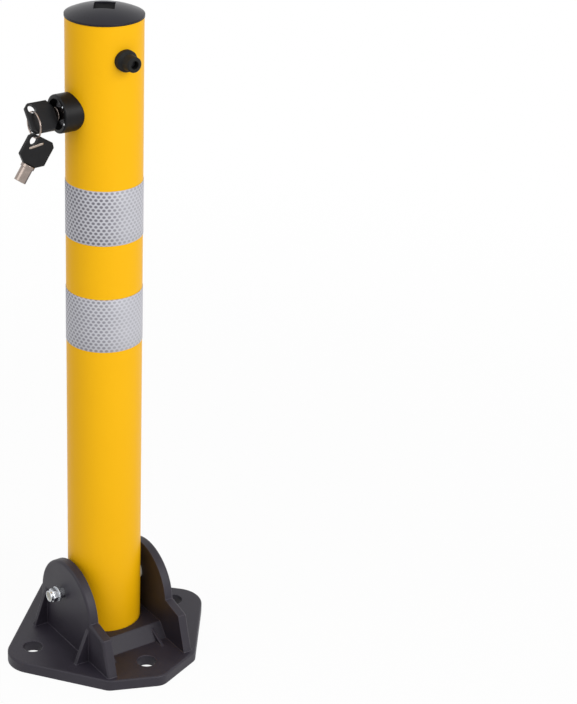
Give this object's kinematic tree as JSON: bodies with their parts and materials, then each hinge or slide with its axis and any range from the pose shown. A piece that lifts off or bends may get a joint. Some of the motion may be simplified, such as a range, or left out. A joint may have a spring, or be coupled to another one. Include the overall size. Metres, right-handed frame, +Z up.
{
  "type": "folding parking post",
  "caption": "Folding parking post: round steel tube with reflective bands, domed cap and side key lock, hinged between the ears of a moulded bolt-down foot.",
  "frame": {"origin": "centre of the ground bolts' circle, on the ground", "axes": "+Z up along the standing post, -Y the way the post folds down, -X the lock's side"},
  "size_m": [0.1812, 0.181, 0.548],
  "materials": {
    "foot_plastic": "moulded, satin charcoal",
    "zinc_steel": "bright zinc plated",
    "nylon": "natural nylon",
    "yellow_coat": "satin powder coat, traffic yellow",
    "cap_plastic": "moulded, half gloss",
    "reflective_film": "honeycomb retroreflective film",
    "lock_plastic": "moulded black",
    "lock_metal": "dark plated die casting",
    "buffer_rubber": "moulded black rubber",
    "key_plastic": "moulded black",
    "key_nickel": "nickel plated"
  },
  "bodies": {
    "foot": {"base_foot": "foot_plastic", "hinge_sleeve": "zinc_steel", "hinge_bolt": "zinc_steel", "hinge_nut": "zinc_steel", "nut_insert": "nylon", "nut_washer": "zinc_steel", "head_washer": "zinc_steel", "lock_side_spacer": "nylon", "far_side_spacer": "nylon"},
    "post": {"post_tube": "yellow_coat", "top_cap": "cap_plastic", "reflective_band_upper": "reflective_film", "reflective_band_lower": "reflective_film", "lock_boss": "lock_plastic", "lock_body": "lock_metal", "lock_nut": "zinc_steel", "rod_guide_lower": "nylon", "rod_guide_upper": "nylon", "rubber_buffer": "buffer_rubber", "buffer_screw": "zinc_steel"},
    "lock_core": {"lock_plug": "lock_metal", "lock_cam": "zinc_steel", "cam_screw": "zinc_steel", "key_head": "key_plastic", "key_barrel": "key_nickel"},
    "rod": {"lock_rod": "zinc_steel"},
    "ring": {"key_ring": "key_nickel"},
    "spare_key": {"spare_key_head": "key_plastic", "spare_key_barrel": "key_nickel"}
  },
  "joints": [
    {"name": "post_fold", "type": "hinge", "parent": "foot", "child": "post", "pos_m": [0, 0, 0.052], "axis": [1, 0, 0], "range_deg": [0, 90.9]},
    {"name": "key_turn", "type": "hinge", "parent": "post", "child": "lock_core", "pos_m": [-0.038, 0, 0.469], "axis": [1, 0, 0], "range_deg": [0, 90]},
    {"name": "rod_slide", "type": "slide", "parent": "post", "child": "rod", "axis": [0, 0, 1], "range_m": [-0.01626, 0]},
    {"name": "ring_swing", "type": "hinge", "parent": "lock_core", "child": "ring", "pos_m": [-0.0608, 0.00332, 0.47325], "axis": [0, 1, 0], "range_deg": [-5, 30]},
    {"name": "spare_swing", "type": "hinge", "parent": "ring", "child": "spare_key", "pos_m": [-0.0608, -0.00038, 0.45418], "axis": [0, 1, 0], "range_deg": [-5, 30]}
  ],
  "couplings": [
    {"joint": "key_turn", "follows": "rod_slide", "rad_per_m": -96.584}
  ]
}
